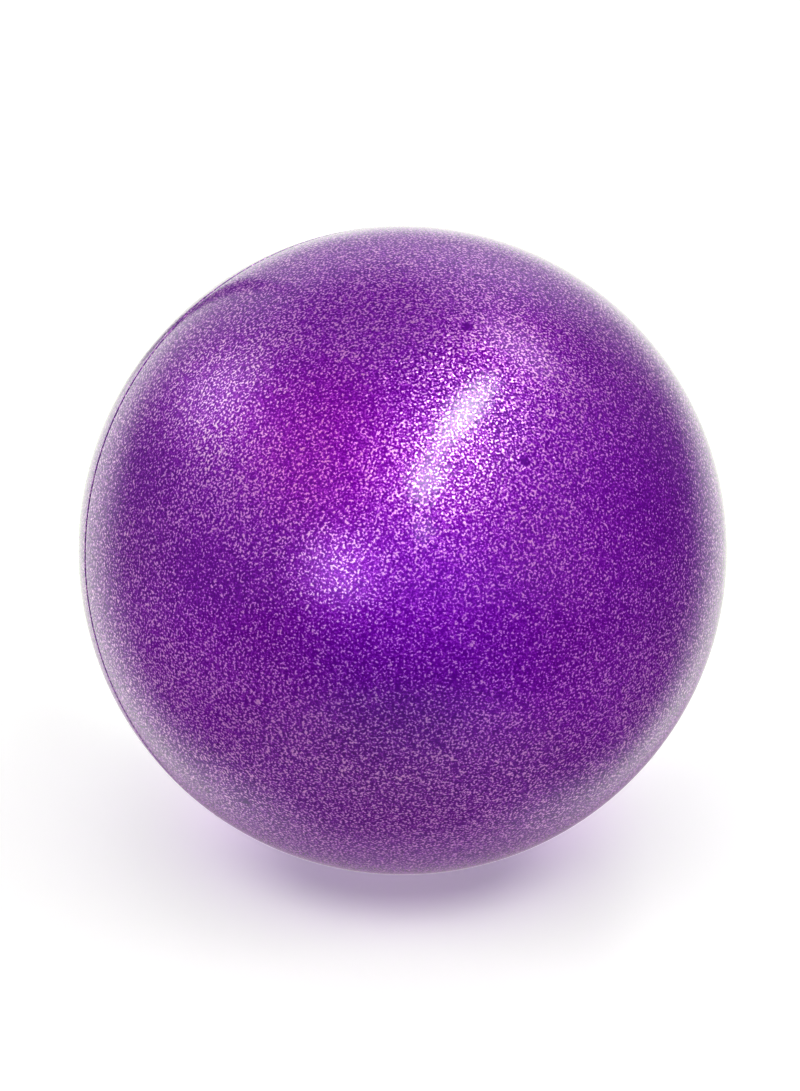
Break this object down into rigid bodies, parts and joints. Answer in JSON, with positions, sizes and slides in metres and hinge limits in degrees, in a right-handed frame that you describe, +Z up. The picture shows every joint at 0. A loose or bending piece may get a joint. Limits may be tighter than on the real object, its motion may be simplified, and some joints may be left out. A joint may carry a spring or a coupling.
{
  "type": "pilates ball",
  "caption": "Inflated glossy exercise ball with a violet wall under a clear glitter skin, a welded seam round its middle and a plug valve; it stands on its own flattened patch.",
  "frame": {"origin": "on the floor, in the middle of the patch that the ball stands on, under the ball's centre", "axes": "+Z up; the mould axis lies in the YZ plane, its front pole 18 degrees above -Y and its rear pole, with the valve, 18 degrees below +Y"},
  "size_m": [0.2, 0.1998, 0.1989],
  "materials": {
    "violet_wall": "satin soft vinyl, deep violet",
    "glitter_skin": "clear high-gloss vinyl over violet, filled with fine lilac glitter",
    "weld_grey": "dull grey-violet weld line",
    "valve_violet": "satin soft vinyl, violet",
    "plug_white": "satin white plastic"
  },
  "bodies": {
    "ball": {"front_shell": "violet_wall", "rear_shell": "violet_wall", "front_glitter_skin": "glitter_skin", "rear_glitter_skin": "glitter_skin", "seam_weld": "weld_grey", "valve_seat": "valve_violet"},
    "plug": {"valve_plug": "plug_white"}
  },
  "joints": [
    {"name": "plug_pull", "type": "slide", "parent": "ball", "child": "plug", "axis": [0, 0.9511, -0.309], "range_m": [0, 0.026]}
  ]
}
